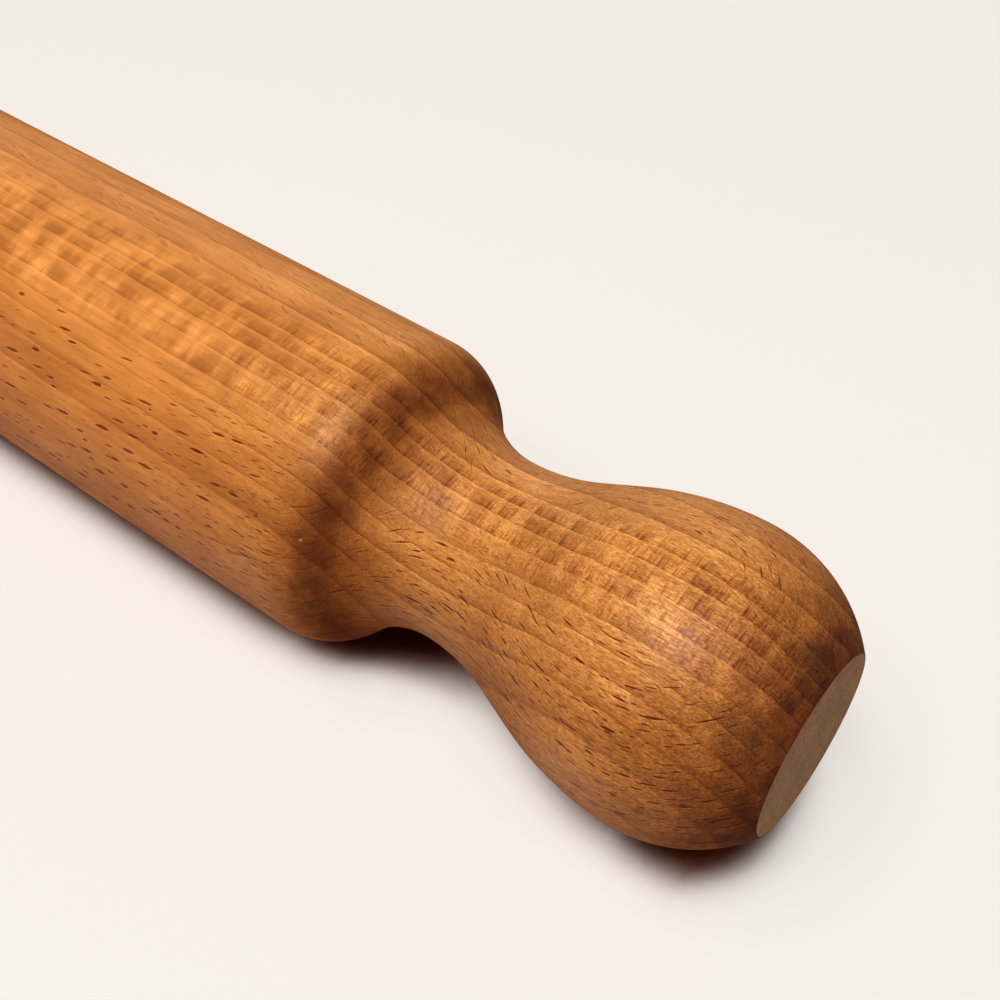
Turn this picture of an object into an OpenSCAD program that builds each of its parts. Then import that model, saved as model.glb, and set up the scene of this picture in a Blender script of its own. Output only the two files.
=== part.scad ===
/* [Barrel] */
// Length over the two end faces
overall_l = 400; // [300:5:500]
// Diameter of the straight rolling barrel
barrel_d = 50; // [46:0.5:60]

/* [Shoulder and neck] */
// Radius of the round shoulder that ends the barrel
shoulder_r = 9.6; // [4:0.2:18]
// Diameter of the neck, the narrowest place of a handle
neck_d = 29.6; // [24:0.2:36]
// Distance from the end of the straight barrel to the middle of the neck
neck_at = 20.4; // [14:0.2:26]
// Radius of the hollow on the neck's outer side
neck_r = 33; // [20:0.2:60]

/* [Knob] */
// Length of the straight flare between the neck's hollow and the back of the knob
flare_l = 6.6; // [1:0.2:16]
// Diameter of the knob at its widest place
knob_d = 45.8; // [38:0.2:50]
// Distance from the end of the straight barrel to the knob's widest place
knob_at = 56; // [48:0.2:62]

/* [End face] */
// Diameter of the flat end face, measured to its corner before the edge is eased
face_d = 27.2; // [16:0.2:36]
// Distance from the end of the straight barrel to the end face
face_at = 74.4; // [70:0.2:90]
// Radius of the eased edge round the end face
face_edge_r = 0.8; // [0.2:0.1:2]

/* [Hidden] */
$fa = 3;

// An arc's chords turn through this many degrees, or are this long on the smallest arcs.
chord_turn = 3;
chord_l = 0.2;
beech = "#bf7a3f";

barrel_r = barrel_d / 2;
neck_min_r = neck_d / 2;
knob_max_r = knob_d / 2;
barrel_end = overall_l / 2 - face_at;

// Shoulder: a round and a cove, both turning through one angle, lead the barrel's radius
// down to the neck's. Their slopes are level at the barrel and at the neck.
shoulder_drop = barrel_r - neck_min_r;
shoulder_turn = 2 * atan(shoulder_drop / neck_at);
cove_r = neck_at / sin(shoulder_turn) - shoulder_r;

// Flare: the neck's hollow and the back of the knob are tangent to one straight cone.
flare_run = knob_at - neck_at;
flare_rise = knob_max_r - neck_min_r;
flare_radii = (flare_run ^ 2 + flare_rise ^ 2 - flare_l ^ 2) / (2 * flare_rise);
flare_turn = atan2(flare_run, flare_radii - flare_rise) - atan2(flare_l, flare_radii);
knob_back_r = flare_radii - neck_r;

// Front of the knob: one arc from the widest place to the corner of the end face.
front_run = face_at - knob_at;
front_drop = (knob_d - face_d) / 2;
front_r = front_run / sin(2 * atan(front_drop / front_run));

// Eased edge: a small arc tangent to the knob's front and to the end face.
edge_at = face_at - face_edge_r;
edge_turn = asin((edge_at - knob_at) / (front_r - face_edge_r));
edge_centre_r = knob_max_r - front_r + (front_r - face_edge_r) * cos(edge_turn);

// Points are [radius, distance along the pin]. A turn of 0 faces straight out from the
// axis, and 90 faces the end. An arc leaves out its first point, which the curve before
// it has drawn.
function on_arc(centre, r, turn) = centre + r * [cos(turn), sin(turn)];

function arc(centre, r, from, to) =
    let (
        turn = abs(to - from),
        arc_l = PI * r * turn / 180,
        chords = ceil(min(turn / chord_turn, arc_l / chord_l))
    )
    [for (i = [1:chords]) on_arc(centre, r, from + (to - from) * i / chords)];

// One handle, from the end of the straight barrel to the end face
function handle() =
    let (
        shoulder_centre = [barrel_r - shoulder_r, 0],
        cove_centre = [neck_min_r + cove_r, neck_at],
        neck_centre = [neck_min_r + neck_r, neck_at],
        back_centre = [knob_max_r - knob_back_r, knob_at],
        front_centre = [knob_max_r - front_r, knob_at],
        edge_centre = [edge_centre_r, edge_at]
    )
    concat(
        [[barrel_r, 0]],
        arc(shoulder_centre, shoulder_r, 0, shoulder_turn),
        arc(cove_centre, cove_r, 180 + shoulder_turn, 180),
        arc(neck_centre, neck_r, 180, 180 - flare_turn),
        [on_arc(back_centre, knob_back_r, -flare_turn)],
        arc(back_centre, knob_back_r, -flare_turn, 0),
        arc(front_centre, front_r, 0, edge_turn),
        arc(edge_centre, face_edge_r, edge_turn, 90),
        [[0, face_at]]
    );

// Both handles are turned to one pattern, so the outline of the second mirrors the first.
function outline() =
    let (
        near = [for (point = handle()) point + [0, barrel_end]],
        far = [for (i = [len(near) - 1:-1:0]) [near[i][0], -near[i][1]]]
    )
    concat(far, near);

// The whole pin is turned from one billet, and lies along the X axis.
module rolling_pin() {
    color(beech)
        rotate([0, 90, 0])
            rotate_extrude()
                polygon(outline());
}

rolling_pin();
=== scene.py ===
import math

import bpy
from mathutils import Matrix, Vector


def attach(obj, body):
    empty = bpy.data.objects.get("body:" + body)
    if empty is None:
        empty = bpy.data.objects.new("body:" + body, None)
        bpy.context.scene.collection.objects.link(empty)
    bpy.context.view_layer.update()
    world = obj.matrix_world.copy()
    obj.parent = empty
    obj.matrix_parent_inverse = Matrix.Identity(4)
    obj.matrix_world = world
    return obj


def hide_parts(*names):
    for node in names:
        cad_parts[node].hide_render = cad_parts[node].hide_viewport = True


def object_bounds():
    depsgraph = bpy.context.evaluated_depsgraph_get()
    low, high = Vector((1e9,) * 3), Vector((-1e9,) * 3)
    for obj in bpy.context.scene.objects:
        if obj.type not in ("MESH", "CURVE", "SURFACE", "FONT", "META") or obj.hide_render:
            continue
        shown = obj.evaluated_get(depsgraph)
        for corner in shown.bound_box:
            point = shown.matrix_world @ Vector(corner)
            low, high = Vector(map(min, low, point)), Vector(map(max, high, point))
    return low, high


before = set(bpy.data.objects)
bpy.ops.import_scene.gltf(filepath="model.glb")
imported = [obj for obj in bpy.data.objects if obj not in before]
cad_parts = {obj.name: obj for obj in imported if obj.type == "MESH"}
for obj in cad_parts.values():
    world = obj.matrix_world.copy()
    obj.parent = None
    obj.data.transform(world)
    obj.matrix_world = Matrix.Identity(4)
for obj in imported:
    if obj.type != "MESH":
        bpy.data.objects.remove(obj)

cad_low, cad_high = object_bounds()
MM = 0.001

# Outline of one handle, in metres. Distances are from the end of the straight barrel.
SHOULDER_R = 9.6 * MM
NECK_R_MIN = 14.8 * MM
NECK_AT = 20.4 * MM
NECK_HOLLOW_R = 33 * MM
FLARE_L = 6.6 * MM
KNOB_R_MAX = 22.9 * MM
KNOB_AT = 56 * MM
FACE_R = 13.6 * MM
FACE_AT = 74.4 * MM
FACE_EDGE_R = 0.8 * MM

# The barrel and the overall length come from the frame.
HALF_L = cad_high.x
BARREL_R = cad_high.z
BARREL_END = HALF_L - FACE_AT

# Facets of the lathe work: steps round the pin, the longest chord along an arc of its outline, and
# the steps along its straight lines
STEPS_ROUND = 256
CHORD = 0.6 * MM
BARREL_STEPS = 6
FLARE_STEPS = 8
FACE_STEPS = 6
# Points closer than these become one, at the mirror and at the ends of the spin
MIRROR_MERGES = 0.01 * MM
SPIN_MERGES = 0.002 * MM
# Edges that turn less than this, in degrees, are shaded smooth
SMOOTH_UNDER = 40

# The camera: where it stands, how far it is turned and tipped in degrees, and its lens in mm
CAMERA_AT = (0.2266, -0.0996, 0.1470)
CAMERA_TURN = 37.91
CAMERA_TIP = 46.73
CAMERA_LENS = 48.11
CAMERA_SENSOR = 36
CAMERA_SEES = (0.01, 50)

# The floor: its width in metres, its colour as it lights the pin, its paler colour as it is seen,
# and the distances between which it fades into one even tone, far from the pin
FLOOR_W = 8
FLOOR_COLOUR = (0.44, 0.35, 0.26)
FLOOR_SEEN = (0.95, 0.89, 0.83)
FLOOR_FADES = (0.35, 0.9)
# Contact shadow: how far it looks for what closes in on the floor, how many ways it looks, and its
# colour
CONTACT_FAR = 18 * MM
CONTACT_SAMPLES = 40
CONTACT_COLOUR = (0.16, 0.035, 0.01)
# The share of open sky at which the contact shadow is deep, from the middle of the pin, at 0, to
# its end, at 1. It reaches further out under the shoulder and under the front of the knob.
DEEP_SHADOW = ((0.0, 0.27), (0.6, 0.27), (0.645, 0.36), (0.7, 0.365), (0.75, 0.31), (0.9, 0.31),
               (0.925, 0.38), (0.96, 0.48), (1.0, 0.48))
# How much more sky it takes for the deep shadow to end, and for the soft one to be lightened most
DEEP_ENDS = (-0.01, 0.12)
SOFT_ENDS = (0.04, 0.26)
SHADOW_SOFTENED = 0.66

# The dim room, and how steeply up its pale backdrop starts and stops fading, as the sine
ROOM_LEVEL = 0.045
ROOM_COLOUR = (0.95, 0.90, 0.84)
BACKDROP_FADES = (0.35, 0.6)
# Soft boxes round the near handle: turn from +X towards +Y and height in degrees, width in metres,
# and power in watts
SOFT_BOX_FAR = 1.2
LIT_PLACE = (0.15, 0, 0)
SOFT_BOXES = {
    "key": (285, 72, 0.4, 6.8),
    "lower key": (250, 58, 0.3, 2.1),
    "right": (340, 64, 0.35, 2.4),
    "left": (210, 70, 0.4, 2.7),
    "behind": (90, 70, 0.4, 0.2),
    "past the end": (30, 70, 0.4, 0.5),
    "far and low": (150, 20, 0.9, 0.6),
}

# Where the billet lay in the tree: the way to the pith in degrees, measured round the pin from +Z
# towards +Y, how far off the pith is in mm, and how the grain leans along the pin (per mm), counted
# from this distance
PITH_TURN = 64.2
PITH_FAR = 156.0
LEAN_TO_PITH = 0.0119
LEAN_ACROSS = 0.0066
LEAN_FROM = 150.0
# How far the growth rings swing and ripple, in mm
RINGS_SWING = 1.6
RINGS_RIPPLE = 0.5

# Widths of the growth rings in mm, from the bark side to the pith side
RINGS_FROM = -29.9
RING_WIDTHS = (4.4, 4.3, 4.5, 3.7, 3.3, 2.8, 2.5, 3.4, 3.0, 2.7, 2.5, 3.9, 5.0, 4.4, 4.0, 3.6)
# How dark each ring is as a whole, and how strongly its late wood is marked, from 0 to 1
RING_TONES = (0.5, 0.55, 0.5, 0.75, 0.6, 0.5, 0.45, 0.5, 0.45, 0.55, 0.5, 0.45, 0.5, 0.5, 0.5, 0.5)
RING_MARKS = (0.5, 0.3, 0.5, 0.8, 1.0, 1.0, 0.7, 0.8, 0.8, 0.9, 1.0, 0.8, 1.0, 0.6, 0.5, 0.4)
# Shade across one ring, from its dark late wood to its pale early wood. EVEN counts for nothing.
EVEN = 0.5
RING_SHADE = ((0.0, 0.84), (0.05, 0.8), (0.13, 0.64), (0.26, 0.55), (0.5, 0.5), (0.75, 0.45),
              (0.92, 0.37), (1.0, 0.32))
LATE_WOOD = (0.9, 0.25)
# Patches make the ring lines stronger and weaker along the pin
PATCHES_COUNT = 2.2

# Ray tissue in mm: the spacing along the grain, round the rings and towards the pith, half the
# height and half the thickness of a sheet, and how far it leans off the grain
BROAD_RAYS = ((3.1, 2.9, 9.0), 1.15, 0.21, 0.09)
SMALL_RAYS = ((1.9, 1.3, 10.0), 0.75, 0.095, 0.12)
FINE_RAYS = ((0.85, 0.9, 5.0), 0.2, 0.34, 0.1)
HAIR_RAYS = ((0.45, 0.6, 4.0), 0.11, 0.22, 0.1)
# How far the sheets stray from their rows, what the least of them keeps of its size, half the depth
# of a sheet as a share of its spacing, and, in half thicknesses, its soft edge and how far off its
# middle the pale lip lies
RAYS_STRAY = 0.9
RAYS_LEAST = 0.6
RAYS_DEEP = 0.62
RAY_EDGE = (-0.3, 0.6)
RAY_LIP_OFF = 1.3
# The rays stand a little off the way to the pith: where round the pin, in degrees, the surface lies
# along them. Ladder figure shows there, and flecks show where the surface has turned away.
RAYS_FACE = -16.0
LADDERS_FROM = (0.93, 0.985)
FLECKS_FROM = (0.97, 0.9)
# How much ladder figure early wood holds, and how much more late wood does
LADDERS_IN_RINGS = (0.2, 0.8)
# A ray is cut at a slant by this much at least
SLANT_LEAST = 0.02
# How slim the marks of the broad rays are: everywhere, and what is added on the handles
BROAD_SLIM = (1.1, -0.45)
# Depths in mm between which the wood loses most of its broad rays, and how many are left
FEWER_BROAD_RAYS = (2.0, 12.0)
BROAD_RAYS_LEFT = 0.2
# Depths between which painted shade darkens the low near side of the pin, where depth runs lowest
UNDERSIDE_SHADE_DEPTHS = (-3.0, -16.0)

# Clouds in the wood: how fine they are along, across and up (per mm), their detail and their
# roughness. Each is spread round the middle value.
CLOUD_MIDDLE = 0.5
CLOUDS = {
    "ring swing": ((0.035, 0.09, 0.09), 1.0, 0.5),
    "ring ripple": ((0.22, 0.3, 0.3), 2.0, 0.5),
    "patches": ((0.12, 0.35, 0.35), 2.0, 0.5),
    "bands": ((0.36, 0.4, 0.12), 3.0, 0.5),
    "streaks": ((0.8, 3.4, 3.4), 2.0, 0.6),
    "specks": ((2.6, 4.6, 4.6), 1.0, 0.5),
    "fibres": ((0.7, 5.2, 5.2), 1.0, 0.5),
    "long streaks": ((0.11, 1.1, 1.1), 2.0, 0.5),
    "mottle": ((0.06, 0.14, 0.14), 3.0, 0.5),
    "soaking": ((0.3, 0.25, 0.25), 2.0, 0.5),
    "grime_and_shade": ((0.13, 0.13, 0.13), 3.0, 0.5),
    "face grain": ((1.0, 2.2, 2.2), 3.0, 0.8),
    "face blotches": ((0.2, 0.22, 0.22), 3.0, 0.5),
}
# Where a cloud becomes a band, a fibre, or grime and painted shade
BANDS_BETWEEN = (-0.16, 0.16)
FIBRES_BETWEEN = (0.06, 0.2)
GRIME_AND_SHADE_BETWEEN = (-0.05, 0.1)

# How much each mark darkens the wood: everywhere, and what is added on the handles and on the knob
# that knocks have worn
DARKENS = {
    "rings": (0.8, 0.4, 0.0),
    "ring tones": (0.4, 0.0, 0.0),
    "ray lips": (-0.1, -0.15, 0.0),
    "fibres": (0.06, 0.3, 0.15),
    "streaks": (0.05, 0.8, 0.6),
    "specks": (0.0, 0.5, 0.3),
    "long streaks": (0.55, 0.0, 0.0),
    "mottle": (0.65, 0.0, 0.0),
    "broad rays": (1.25, 0.25, 0.0),
    "small rays": (0.2, 1.2, 0.0),
    "fine rays": (0.05, 0.33, 0.0),
    "hair rays": (0.0, 0.31, 0.0),
    # Painted shade on the low near side of the pin
    "painted underside shade": (0.1, 0.0, 0.0),
}
# Bands across the ladder figure: how much they darken early wood, and how much more late wood
BANDS_DARKEN = (0.09, 0.17)

# The colour of the plain wood on the barrel and on the handled ends, and how fast it loses red,
# green and blue as it darkens, and as a ray darkens it
BARREL_COLOUR = (0.755, 0.272, 0.055)
HANDLE_COLOUR = (0.68, 0.262, 0.060)
WOOD_ABSORBS = (1.0, 1.34, 1.75)
RAYS_ABSORB = (1.0, 1.75, 2.8)

# Darkening where the grain is cut across, from facing the middle of the pin, at 0, to its end, at 1
# It is partly end grain that absorbs oil and partly painted shade, most on the slopes that face the
# ends.
END_GRAIN_AND_SHADE = ((0.0, 0.6), (0.2, 0.3), (0.3, 0.1), (0.4, 0.0), (0.5, 0.02), (0.6, 0.12), (0.7, 0.25),
             (0.775, 0.5), (0.85, 0.74), (0.93, 0.8), (1.0, 0.85))
# How much the oil has soaked into the end grain, and how unevenly, and what the smoothed cove takes
# off and the soiled rim adds. This darkening is partly painted shade.
SOAKED_AND_SHADED = (1.5, 2.6)
COVE_SOAKS = -0.4
RIM_SOAKS = 0.42

# Lengths in mm from the middle of the pin: where handling roughens the wood, where knocks wear the
# knob, where dirt has soaked into its rim and lies on its front, both partly painted shade, the
# shoulder, which shows few flecks, and its smoothed cove
HANDLED_FROM = (90, 145)
KNOCKED_FROM = (165, 187)
SOILED_AND_SHADED_FROM = (195.5, 199.2)
GRIME_AND_SHADE_FROM = (180, 190)
SHOULDER = (125, 129, 137, 143)
COVE = (132.5, 137, 148, 156)
# What the shoulder takes off its flecks, and what grime and painted shade take off the light of the
# knob's front, where the surface faces the end by this much
SHOULDER_LOSES = -0.7
GRIME_AND_SHADE_DIMS = -0.45
GRIME_AND_SHADE_FRONT = (0.4, 0.7)

# A small dent in the round of the shoulder: its place, and its edge and middle, in mm
NICK_AT = (131.0, -21.1, 10.7)
NICK_SIZE = (0.45, 0.15)
NICK_COLOUR = (0.55, 0.42, 0.3)

# The end face: how squarely a surface faces the end to take its colour, and how its grain, its
# blotches and the rings darken it
FACED_FROM = (0.95, 0.995)
FACE_COLOUR = (0.46, 0.268, 0.145)
FACE_GRAIN = 2.4
FACE_BLOTCHES = 0.8
FACE_RINGS = 0.3

# Relief in mm, and the share of it that the barrel has and the handles add
RELIEF = {
    "broad rays": -0.02,
    "small rays": -0.02,
    "fine rays": -0.01,
    "streaks": 0.035,
    "specks": 0.03,
    "fibres": -0.015,
    "nick": -0.1,
}
RELIEF_SHARE = (0.1, 0.9)
# Gloss: the roughness of the oiled wood, and what mottle, end grain and a slanting view add to it
WOOD_ROUGH = 0.29
MOTTLE_ROUGHENS = 0.2
END_GRAIN_ROUGHENS = 0.7
SLANT_ROUGHENS = 0.5
WOOD_IOR = 1.27


def wire(tree, socket, value):
    """Gives a socket its value: another node's output, or a constant."""
    if isinstance(value, bpy.types.NodeSocket):
        tree.links.new(value, socket)
    else:
        socket.default_value = value


def add_node(tree, kind, sockets=None, **settings):
    """Adds a node with its settings, and wires its sockets, which are given by name or number."""
    node = tree.nodes.new("ShaderNode" + kind)
    for name, value in settings.items():
        setattr(node, name, value)
    for key, value in (sockets or {}).items():
        wire(tree, node.inputs[key], value)
    return node


def calc(tree, operation, *values, clamp=False):
    """One Math node: its result."""
    node = add_node(tree, "Math", dict(enumerate(values)), operation=operation)
    node.use_clamp = clamp
    return node.outputs[0]


def product(tree, first, *others):
    """Several values multiplied."""
    for value in others:
        first = calc(tree, "MULTIPLY", first, value)
    return first


def total(tree, *parts):
    """The sum of several shares, each a value and what it counts for."""
    so_far = 0.0
    for value, weight in parts:
        so_far = calc(tree, "MULTIPLY_ADD", value, weight, so_far)
    return so_far


def vector(tree, x, y, z):
    """Three numbers as one vector."""
    return add_node(tree, "CombineXYZ", {0: x, 1: y, 2: z}).outputs[0]


def vector_math(tree, operation, first, second):
    """One Vector Math node on two vectors."""
    return add_node(tree, "VectorMath", {0: first, 1: second}, operation=operation).outputs[0]


def scaled(tree, way, scale):
    """A vector or colour times a number."""
    return add_node(tree, "VectorMath", {0: way, "Scale": scale}, operation="SCALE").outputs[0]


def dot(tree, a, b):
    """How far a vector reaches along another."""
    return add_node(tree, "VectorMath", {0: a, 1: b}, operation="DOT_PRODUCT").outputs["Value"]


def ease(tree, value, low, high, to_low=0.0, to_high=1.0):
    """A smooth step from to_low to to_high as the value goes from low to high."""
    sockets = {
        "Value": value,
        "From Min": low,
        "From Max": high,
        "To Min": to_low,
        "To Max": to_high,
    }
    return add_node(tree, "MapRange", sockets, interpolation_type="SMOOTHSTEP").outputs[0]


def between(tree, value, rise_from, rise_to, fall_from, fall_to):
    """1 in a stretch with soft ends, and 0 outside it."""
    risen = ease(tree, value, rise_from, rise_to)
    return calc(tree, "SUBTRACT", risen, ease(tree, value, fall_from, fall_to))


def mix(tree, share, first, second):
    """One colour going over into another."""
    sockets = {"Factor": share}
    for key, colour in ((6, first), (7, second)):
        sockets[key] = (*colour, 1) if isinstance(colour, tuple) else colour
    return add_node(tree, "Mix", sockets, data_type="RGBA").outputs[2]


def cloud(tree, at, name):
    """Soft cloud of values round 0."""
    fineness, detail, roughness = CLOUDS[name]
    stretched = vector_math(tree, "MULTIPLY", at, fineness)
    sockets = {"Vector": stretched, "Scale": 1.0, "Detail": detail, "Roughness": roughness}
    return calc(tree, "SUBTRACT", add_node(tree, "TexNoise", sockets).outputs[0], CLOUD_MIDDLE)


def curve(tree, value, points):
    """Straight lines through given points, read at the value."""
    node = add_node(tree, "FloatCurve", {"Value": value})
    line = node.mapping.curves[0]
    for point, place in zip(line.points, (points[0], points[-1])):
        point.location = place
    for place in points[1:-1]:
        line.points.new(*place)
    for point in line.points:
        point.handle_type = "VECTOR"
    node.mapping.update()
    return node.outputs[0]


def in_the_billet(tree, at):
    """Places a point in the tree, in mm: along the grain, round the growth rings, and out across
    them."""
    turn = math.radians(PITH_TURN)
    to_pith = (LEAN_TO_PITH, math.sin(turn), math.cos(turn))
    across = (LEAN_ACROSS, -math.cos(turn), math.sin(turn))
    inward = total(
        tree,
        (dot(tree, at, to_pith), 1.0),
        (LEAN_TO_PITH * LEAN_FROM, -1.0),
        (cloud(tree, at, "ring swing"), RINGS_SWING),
        (cloud(tree, at, "ring ripple"), RINGS_RIPPLE),
    )
    sideways = calc(tree, "SUBTRACT", dot(tree, at, across), LEAN_ACROSS * LEAN_FROM)
    left = calc(tree, "SUBTRACT", PITH_FAR, inward)
    from_pith = calc(tree, "SQRT", total(tree, (left, left), (sideways, sideways)))
    along = add_node(tree, "SeparateXYZ", {0: at}).outputs["X"]
    around = calc(tree, "MULTIPLY", calc(tree, "ARCTAN2", sideways, left), PITH_FAR)
    return {"along": along, "around": around, "depth": calc(tree, "SUBTRACT", PITH_FAR, from_pith)}


def cut_across(tree, normal, along):
    """How far the surface faces the nearer end of the pin and so cuts the grain across: -1 to 1."""
    facing = add_node(tree, "SeparateXYZ", {0: normal}).outputs["X"]
    return calc(tree, "MULTIPLY", facing, calc(tree, "SIGN", along))


def growth_rings(tree, depth):
    """How far through its ring a depth lies, from 0 at the dark late wood to 1 at the pale early
    wood, and how dark the ring is and how strongly it is marked."""
    rings = len(RING_WIDTHS)
    span = sum(RING_WIDTHS)
    share = calc(tree, "DIVIDE", calc(tree, "SUBTRACT", depth, RINGS_FROM), span)
    edges = [sum(RING_WIDTHS[:i]) / span for i in range(rings + 1)]
    counted = [(edge, i / rings) for i, edge in enumerate(edges)]
    count = calc(tree, "MULTIPLY", curve(tree, share, counted), float(rings))
    ramp = add_node(tree, "ValToRGB", {0: share})
    ramp.color_ramp.interpolation = "CONSTANT"
    stops = ramp.color_ramp.elements
    stops.remove(stops[1])
    for edge, tone, mark in zip(edges, RING_TONES, RING_MARKS):
        stop = stops[0] if edge == 0 else stops.new(edge)
        stop.color = (tone, mark, 0, 1)
    kept = add_node(tree, "SeparateColor", {0: ramp.outputs[0]})
    return calc(tree, "FRACT", count), kept.outputs[0], kept.outputs[1]


def rays(tree, billet, edge_on, cell, half_l, half_w, lean):
    """Thin sheets of ray tissue that stand along the grain and point nearly at the pith: how far
    inside a sheet a point lies, and how far on the pale lip beside it, from 0 to 1. A sheet thins
    where the surface cuts it at a slant, so its mark stays narrow."""
    ways = zip(("along", "around", "depth"), cell)
    spot = vector(tree, *[calc(tree, "DIVIDE", billet[way], size) for way, size in ways])
    cells = add_node(tree, "TexVoronoi", {"Vector": spot, "Scale": 1.0, "Randomness": RAYS_STRAY})
    away = vector_math(tree, "SUBTRACT", spot, cells.outputs["Position"])
    away = vector_math(tree, "MULTIPLY", away, cell)
    step = add_node(tree, "SeparateXYZ", {0: away})
    chance = add_node(tree, "SeparateColor", {0: cells.outputs["Color"]})
    tilt = math.tan(math.radians(RAYS_FACE + 90 - PITH_TURN))
    off_middle = total(tree, (step.outputs["Y"], 1.0), (step.outputs["X"], -lean),
                       (step.outputs["Z"], tilt))
    tall = calc(tree, "MULTIPLY", calc(tree, "ADD", chance.outputs[0], RAYS_LEAST), half_l)
    long_way = calc(tree, "DIVIDE", step.outputs["X"], tall)
    deep_way = calc(tree, "DIVIDE", step.outputs["Z"], cell[2] * RAYS_DEEP)
    spent = total(tree, (long_way, long_way), (deep_way, deep_way))
    thick = product(tree, calc(tree, "ADD", chance.outputs[1], RAYS_LEAST), edge_on, half_w)
    width = calc(tree, "MULTIPLY", calc(tree, "SUBTRACT", 1.0, spent), thick)
    dark = ray_mark(tree, width, off_middle, edge_on, half_w)
    beside = calc(tree, "MULTIPLY_ADD", edge_on, RAY_LIP_OFF * half_w, off_middle)
    lip = calc(tree, "SUBTRACT", ray_mark(tree, width, beside, edge_on, half_w), dark, clamp=True)
    return dark, lip


def ray_mark(tree, width, off_middle, edge_on, half_w):
    """1 inside a lens of this width, and 0 outside it, with a soft edge."""
    inside = calc(tree, "SUBTRACT", width, calc(tree, "ABSOLUTE", off_middle))
    return ease(tree, calc(tree, "DIVIDE", inside, edge_on), *[edge * half_w for edge in RAY_EDGE])


def quarter_sawn(tree, normal):
    """1 where the surface lies along the rays, as on a quarter-sawn board, and 0 where it lies
    along the rings. Only the way round the pin counts, so the figure holds on the slopes."""
    turn = math.radians(RAYS_FACE)
    outward = vector_math(tree, "MULTIPLY", normal, (0, 1, 1))
    outward = add_node(tree, "VectorMath", {0: outward}, operation="NORMALIZE").outputs[0]
    return calc(tree, "ABSOLUTE", dot(tree, outward, (0, math.sin(turn), math.cos(turn))))


def ray_figure(tree, billet, normal, late, handled, from_middle):
    """The marks that ray tissue leaves on the surface, and how far the surface lies along it. The
    broad and small rays show as flecks, and the fine and hair rays as ladder figure."""
    facing = quarter_sawn(tree, normal)
    slant = calc(tree, "SUBTRACT", 1.0 + SLANT_LEAST, calc(tree, "MULTIPLY", facing, facing))
    edge_on = calc(tree, "SQRT", slant)
    slim = product(tree, edge_on, total(tree, (handled, BROAD_SLIM[1]), (1.0, BROAD_SLIM[0])))
    in_shoulder = between(tree, from_middle, *SHOULDER)
    shown = total(tree, (in_shoulder, SHOULDER_LOSES), (1.0, 1.0))
    flecked = product(tree, ease(tree, facing, *FLECKS_FROM), shown)
    left = ease(tree, billet["depth"], *FEWER_BROAD_RAYS, 1.0, BROAD_RAYS_LEFT)
    quarter = ease(tree, facing, *LADDERS_FROM)
    in_rings = total(tree, (late, LADDERS_IN_RINGS[1]), (1.0, LADDERS_IN_RINGS[0]))
    laddered = product(tree, quarter, in_rings)
    broad, lip = rays(tree, billet, slim, *BROAD_RAYS)
    marks = {
        "broad rays": product(tree, broad, flecked, left),
        "ray lips": product(tree, lip, flecked),
        "small rays": product(tree, rays(tree, billet, edge_on, *SMALL_RAYS)[0], flecked),
        "fine rays": product(tree, rays(tree, billet, 1.0, *FINE_RAYS)[0], laddered),
        "hair rays": product(tree, rays(tree, billet, 1.0, *HAIR_RAYS)[0], laddered),
    }
    return marks, quarter


def end_face(tree, at, saw):
    """The plain greyish end grain of the flat end face."""
    darker = total(
        tree,
        (cloud(tree, at, "face grain"), FACE_GRAIN),
        (cloud(tree, at, "face blotches"), FACE_BLOTCHES),
        (saw, FACE_RINGS),
    )
    return scaled(tree, FACE_COLOUR, calc(tree, "SUBTRACT", 1.0, darker))


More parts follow.
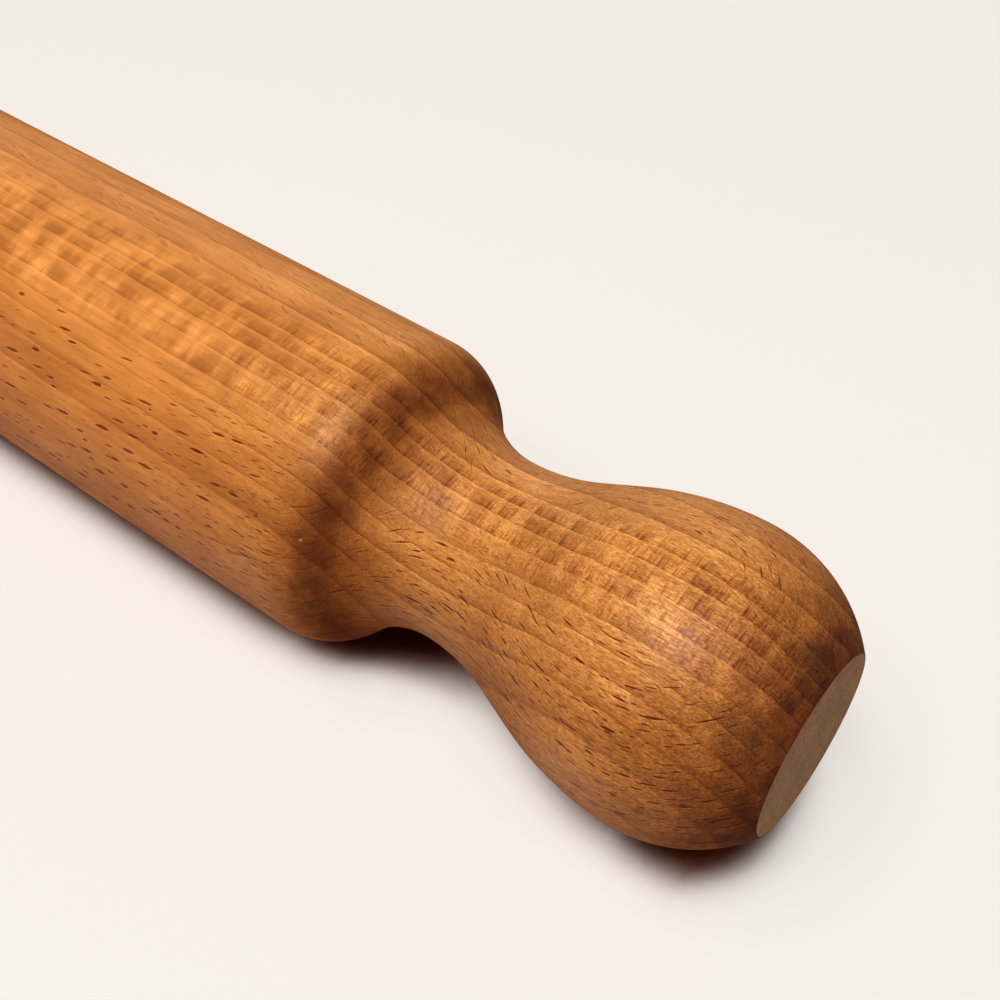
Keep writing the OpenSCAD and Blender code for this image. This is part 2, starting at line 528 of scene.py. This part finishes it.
def beech():
    """Oiled beech: growth rings, ray flecks that turn to ladder figure where the surface lies along
    the rays, fine pores, and darker wood where the grain is cut across, which is partly painted
    shade, with grime and painted shade on the knob's front and painted shade on the low near side."""
    material = bpy.data.materials.new("beech")
    material.use_nodes = True
    tree = material.node_tree
    tree.nodes.clear()
    place = add_node(tree, "TexCoord")
    at = scaled(tree, place.outputs["Object"], 1 / MM)
    normal = place.outputs["Normal"]
    billet = in_the_billet(tree, at)
    cut = cut_across(tree, normal, billet["along"])
    from_middle = calc(tree, "ABSOLUTE", billet["along"])
    handled = ease(tree, from_middle, *HANDLED_FROM)
    knocked = ease(tree, from_middle, *KNOCKED_FROM)

    through, ring_tone, ring_mark = growth_rings(tree, billet["depth"])
    saw = calc(tree, "SUBTRACT", curve(tree, through, RING_SHADE), EVEN)
    late = ease(tree, through, *LATE_WOOD)
    patches = calc(tree, "MULTIPLY_ADD", cloud(tree, at, "patches"), PATCHES_COUNT, 1.0, clamp=True)
    in_billet = vector(tree, billet["along"], billet["around"], billet["depth"])
    bands = ease(tree, cloud(tree, in_billet, "bands"), *BANDS_BETWEEN, -1.0, 1.0)
    marks, quarter = ray_figure(tree, billet, normal, late, handled, from_middle)
    marks["rings"] = product(tree, saw, ring_mark, patches)
    marks["ring tones"] = calc(tree, "SUBTRACT", ring_tone, EVEN)
    # Painted shade: the low near side of the pin, where depth runs lowest, is darkened.
    marks["painted underside shade"] = ease(tree, billet["depth"], *UNDERSIDE_SHADE_DEPTHS)
    marks["fibres"] = ease(tree, cloud(tree, at, "fibres"), *FIBRES_BETWEEN)
    for name in ("streaks", "specks", "long streaks", "mottle"):
        marks[name] = cloud(tree, at, name)

    # Partly end grain that absorbs oil, partly painted shade: the wood darkens as it faces an end.
    end_grain_and_shade = curve(tree, total(tree, (cut, 0.5), (0.5, 1.0)), END_GRAIN_AND_SHADE)
    soaked_and_shaded = total(tree, (cloud(tree, at, "soaking"), SOAKED_AND_SHADED[1]), (1.0, SOAKED_AND_SHADED[0]))
    in_cove = between(tree, from_middle, *COVE)
    # The rim by the end face darkens more, partly dirt and partly painted shade.
    soiled_and_shaded = ease(tree, from_middle, *SOILED_AND_SHADED_FROM)
    soaks_and_shades = total(tree, (in_cove, COVE_SOAKS), (soiled_and_shaded, RIM_SOAKS), (1.0, 1.0))
    soaked_and_shaded = product(tree, soaked_and_shaded, soaks_and_shades)

    def darkening(*names):
        """The named marks, each with how much it counts for at this place."""
        shares = []
        for name in names:
            counts, on_handle, on_knob = DARKENS[name]
            if on_handle:
                counts = calc(tree, "MULTIPLY_ADD", handled, on_handle, counts)
            if on_knob:
                counts = calc(tree, "MULTIPLY_ADD", knocked, on_knob, counts)
            shares.append((marks[name], counts))
        return shares

    banded = total(tree, (late, BANDS_DARKEN[1]), (1.0, BANDS_DARKEN[0]))
    density = total(
        tree,
        *darkening("rings", "ring tones", "ray lips", "fibres"),
        *darkening("streaks", "specks", "long streaks", "mottle"),
        (product(tree, bands, quarter), banded),
        (end_grain_and_shade, soaked_and_shaded),
    )
    in_rays = total(
        tree,
        *darkening("broad rays", "small rays", "fine rays", "hair rays", "painted underside shade"),
    )
    kept = vector(tree, *[
        calc(tree, "EXPONENT", total(tree, (density, -of_wood), (in_rays, -of_rays)))
        for of_wood, of_rays in zip(WOOD_ABSORBS, RAYS_ABSORB)
    ])
    wood = vector_math(tree, "MULTIPLY", kept, mix(tree, handled, BARREL_COLOUR, HANDLE_COLOUR))
    # Grime and painted shade: dark patches on the knob's front, where it faces the end.
    grime_and_shade = product(tree, ease(tree, cloud(tree, at, "grime_and_shade"), *GRIME_AND_SHADE_BETWEEN),
                    ease(tree, cut, *GRIME_AND_SHADE_FRONT), ease(tree, from_middle, *GRIME_AND_SHADE_FROM))
    wood = scaled(tree, wood, total(tree, (grime_and_shade, GRIME_AND_SHADE_DIMS), (1.0, 1.0)))
    from_nick = add_node(tree, "VectorMath", {0: at, 1: NICK_AT}, operation="DISTANCE")
    marks["nick"] = ease(tree, from_nick.outputs["Value"], *NICK_SIZE)
    wood = mix(tree, marks["nick"], wood, NICK_COLOUR)
    colour = mix(tree, ease(tree, cut, *FACED_FROM), wood, end_face(tree, at, saw))

    relief = total(tree, *[(marks[name], height) for name, height in RELIEF.items()])
    relief = product(tree, relief, total(tree, (handled, RELIEF_SHARE[1]), (1.0, RELIEF_SHARE[0])))
    bump = add_node(tree, "Bump", {"Strength": 1.0, "Distance": MM, "Height": relief})
    turned_away = add_node(tree, "LayerWeight", {"Blend": 0.5}).outputs["Facing"]
    slanting = calc(tree, "POWER", turned_away, 2.0)
    rough = total(tree, (marks["mottle"], MOTTLE_ROUGHENS), (end_grain_and_shade, END_GRAIN_ROUGHENS),
                  (slanting, SLANT_ROUGHENS), (1.0, WOOD_ROUGH))
    sockets = {"Base Color": colour, "Roughness": rough, "IOR": WOOD_IOR, "Normal": bump.outputs[0]}
    shader = add_node(tree, "BsdfPrincipled", sockets, distribution="GGX")
    add_node(tree, "OutputMaterial", {0: shader.outputs[0]})
    return material


def start_modelling():
    """Deselects everything, so that an operator acts only on the new piece."""
    if bpy.context.object and bpy.context.object.mode != "OBJECT":
        bpy.ops.object.mode_set(mode="OBJECT")
    bpy.ops.object.select_all(action="DESELECT")


def draw_arc(centre, r, turn):
    """Carries the outline on along an arc. Its centre is (distance along the pin, radius), and it
    turns from straight out towards the end where turn, in radians, is above 0. Spin counts the
    other way."""
    steps = max(2, math.ceil(r * abs(turn) / CHORD))
    bpy.ops.mesh.spin(steps=steps, angle=-turn, center=(centre[0], 0, centre[1]), axis=(0, 1, 0))


def draw_line(along, out, steps):
    """Carries the outline on along a straight line."""
    for _ in range(steps):
        bpy.ops.mesh.extrude_region_move(
            TRANSFORM_OT_translate={"value": (along / steps, 0, out / steps)}
        )


def draw_outline():
    """Draws the outline from the middle of the barrel to the middle of the end face, as a chain of
    lines and tangent arcs."""
    shoulder_turn = 2 * math.atan((BARREL_R - NECK_R_MIN) / NECK_AT)
    cove_r = NECK_AT / math.sin(shoulder_turn) - SHOULDER_R
    run = KNOB_AT - NECK_AT
    rise = KNOB_R_MAX - NECK_R_MIN
    radii = (run ** 2 + rise ** 2 - FLARE_L ** 2) / (2 * rise)
    flare_turn = math.atan2(run, radii - rise) - math.atan2(FLARE_L, radii)
    back_r = radii - NECK_HOLLOW_R
    front_run = FACE_AT - KNOB_AT
    front_r = front_run / math.sin(2 * math.atan((KNOB_R_MAX - FACE_R) / front_run))
    edge_at = FACE_AT - FACE_EDGE_R
    edge_turn = math.asin((edge_at - KNOB_AT) / (front_r - FACE_EDGE_R))
    edge_centre = KNOB_R_MAX - front_r + (front_r - FACE_EDGE_R) * math.cos(edge_turn)

    draw_line(BARREL_END, 0, BARREL_STEPS)
    draw_arc((BARREL_END, BARREL_R - SHOULDER_R), SHOULDER_R, shoulder_turn)
    draw_arc((BARREL_END + NECK_AT, NECK_R_MIN + cove_r), cove_r, -shoulder_turn)
    draw_arc((BARREL_END + NECK_AT, NECK_R_MIN + NECK_HOLLOW_R), NECK_HOLLOW_R, -flare_turn)
    draw_line(FLARE_L * math.cos(flare_turn), FLARE_L * math.sin(flare_turn), FLARE_STEPS)
    draw_arc((BARREL_END + KNOB_AT, KNOB_R_MAX - back_r), back_r, flare_turn)
    draw_arc((BARREL_END + KNOB_AT, KNOB_R_MAX - front_r), front_r, edge_turn)
    draw_arc((BARREL_END + edge_at, edge_centre), FACE_EDGE_R, math.pi / 2 - edge_turn)
    draw_line(0, -edge_centre, FACE_STEPS)


def turned_pin():
    """The whole pin: half its outline is drawn from one point, mirrored, and spun round its
    axis."""
    start_modelling()
    bpy.ops.mesh.primitive_plane_add(size=MM, location=(0, 0, BARREL_R))
    pin = bpy.context.object
    pin.name = "turned_pin"
    pin.data.name = "turned_pin"
    bpy.ops.object.transform_apply(location=True, rotation=True, scale=True)
    bpy.ops.object.mode_set(mode="EDIT")
    bpy.ops.mesh.select_all(action="SELECT")
    bpy.ops.mesh.merge(type="CENTER")
    draw_outline()
    bpy.ops.object.mode_set(mode="OBJECT")
    mirror = pin.modifiers.new("second handle", "MIRROR")
    mirror.merge_threshold = MIRROR_MERGES
    bpy.ops.object.modifier_apply(modifier=mirror.name)
    bpy.ops.object.mode_set(mode="EDIT")
    bpy.ops.mesh.select_all(action="SELECT")
    bpy.ops.mesh.spin(steps=STEPS_ROUND, angle=2 * math.pi, center=(0, 0, 0), axis=(1, 0, 0))
    bpy.ops.mesh.select_all(action="SELECT")
    bpy.ops.mesh.remove_doubles(threshold=SPIN_MERGES)
    bpy.ops.mesh.normals_make_consistent(inside=False)
    bpy.ops.object.mode_set(mode="OBJECT")
    bpy.ops.object.shade_smooth_by_angle(angle=math.radians(SMOOTH_UNDER))
    return pin


def seen_ray(tree):
    """1 for what the camera sees, straight, in a reflection or through glass, and 0 for the light
    that a surface throws."""
    ray = add_node(tree, "LightPath")
    seen = calc(tree, "MAXIMUM", ray.outputs["Is Camera Ray"], ray.outputs["Is Glossy Ray"])
    return calc(tree, "MAXIMUM", seen, ray.outputs["Is Transmission Ray"])


def pale_floor():
    """A pale surface that the pin lies on, far wider than any view of it. Seen straight, its shadow
    is lightened away from the pin and deep and brown where the pin closes in on it."""
    start_modelling()
    bpy.ops.mesh.primitive_plane_add(size=FLOOR_W, location=(0, 0, -BARREL_R))
    floor = bpy.context.object
    floor.name = "floor"
    material = bpy.data.materials.new("floor")
    material.use_nodes = True
    tree = material.node_tree
    tree.nodes.clear()
    straight = add_node(tree, "LightPath").outputs["Is Camera Ray"]
    here = add_node(tree, "TexCoord").outputs["Object"]
    from_pin = add_node(tree, "VectorMath", {0: here}, operation="LENGTH").outputs["Value"]
    from_middle = calc(tree, "ABSOLUTE", add_node(tree, "SeparateXYZ", {0: here}).outputs["X"])
    contact = add_node(tree, "AmbientOcclusion", {"Distance": CONTACT_FAR}, samples=CONTACT_SAMPLES)
    deep = curve(tree, calc(tree, "DIVIDE", from_middle, HALF_L), DEEP_SHADOW)
    sky = calc(tree, "SUBTRACT", contact.outputs["AO"], deep)
    softened = ease(tree, sky, *SOFT_ENDS, 0.0, SHADOW_SOFTENED)
    softened = calc(tree, "MAXIMUM", softened, ease(tree, from_pin, *FLOOR_FADES))
    softened = product(tree, softened, straight)
    closed = product(tree, ease(tree, sky, *DEEP_ENDS, 1.0, 0.0), straight)
    colour = mix(tree, seen_ray(tree), FLOOR_COLOUR, FLOOR_SEEN)
    colour = mix(tree, closed, colour, CONTACT_COLOUR)
    lit = add_node(tree, "BsdfDiffuse", {"Color": colour})
    pale = add_node(tree, "Emission", {"Color": (*FLOOR_SEEN, 1), "Strength": 1.0})
    surface = add_node(tree, "MixShader", {0: softened, 1: lit.outputs[0], 2: pale.outputs[0]})
    add_node(tree, "OutputMaterial", {0: surface.outputs[0]})
    floor.data.materials.append(material)
    return floor


def look_back(turned, tipped):
    """The way back from where something looks, for a turn and a height in radians."""
    flat = math.cos(tipped)
    return Vector((flat * math.cos(turned), flat * math.sin(turned), math.sin(tipped)))


def aim(thing, back):
    """Turns a lamp or camera to look against the way back."""
    thing.rotation_mode = "QUATERNION"
    thing.rotation_quaternion = (-back).to_track_quat("-Z", "Y")


def soft_box(name, turn, height, width, power):
    """A square soft box that faces the near handle."""
    lamp = bpy.data.lights.new(name, "AREA")
    lamp.shape = "SQUARE"
    lamp.size = width
    lamp.energy = power
    light = bpy.data.objects.new(name, lamp)
    bpy.context.scene.collection.objects.link(light)
    back = look_back(math.radians(turn), math.radians(height))
    light.location = Vector(LIT_PLACE) + SOFT_BOX_FAR * back
    aim(light, back)


def pale_room():
    """Dim light from all round, and a pale backdrop low down, which only the camera and reflections
    see."""
    world = bpy.data.worlds.new("room")
    world.use_nodes = True
    tree = world.node_tree
    tree.nodes.clear()
    way = add_node(tree, "SeparateXYZ", {0: add_node(tree, "TexCoord").outputs["Generated"]})
    low_down = ease(tree, way.outputs["Z"], *BACKDROP_FADES, 1.0, 0.0)
    backdrop = product(tree, seen_ray(tree), low_down)
    level = total(tree, (backdrop, 1.0 - ROOM_LEVEL), (1.0, ROOM_LEVEL))
    back = add_node(tree, "Background", {"Color": (*ROOM_COLOUR, 1), "Strength": level})
    add_node(tree, "OutputWorld", {0: back.outputs[0]})
    bpy.context.scene.world = world


def camera():
    """The photograph's view of the near handle."""
    lens = bpy.data.cameras.new("camera")
    lens.lens = CAMERA_LENS
    lens.sensor_width = CAMERA_SENSOR
    lens.clip_start, lens.clip_end = CAMERA_SEES
    eye = bpy.data.objects.new("camera", lens)
    bpy.context.scene.collection.objects.link(eye)
    eye.location = CAMERA_AT
    aim(eye, look_back(math.radians(CAMERA_TURN - 90), math.radians(CAMERA_TIP)))
    bpy.context.scene.camera = eye


camera()
pin = turned_pin()
pin.data.materials.clear()
pin.data.materials.append(beech())
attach(pin, "root")
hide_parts("rolling_pin")
pale_floor()
for name, (turn, height, width, power) in SOFT_BOXES.items():
    soft_box(name, turn, height, width, power)
pale_room()
bpy.context.scene.view_settings.view_transform = "Standard"
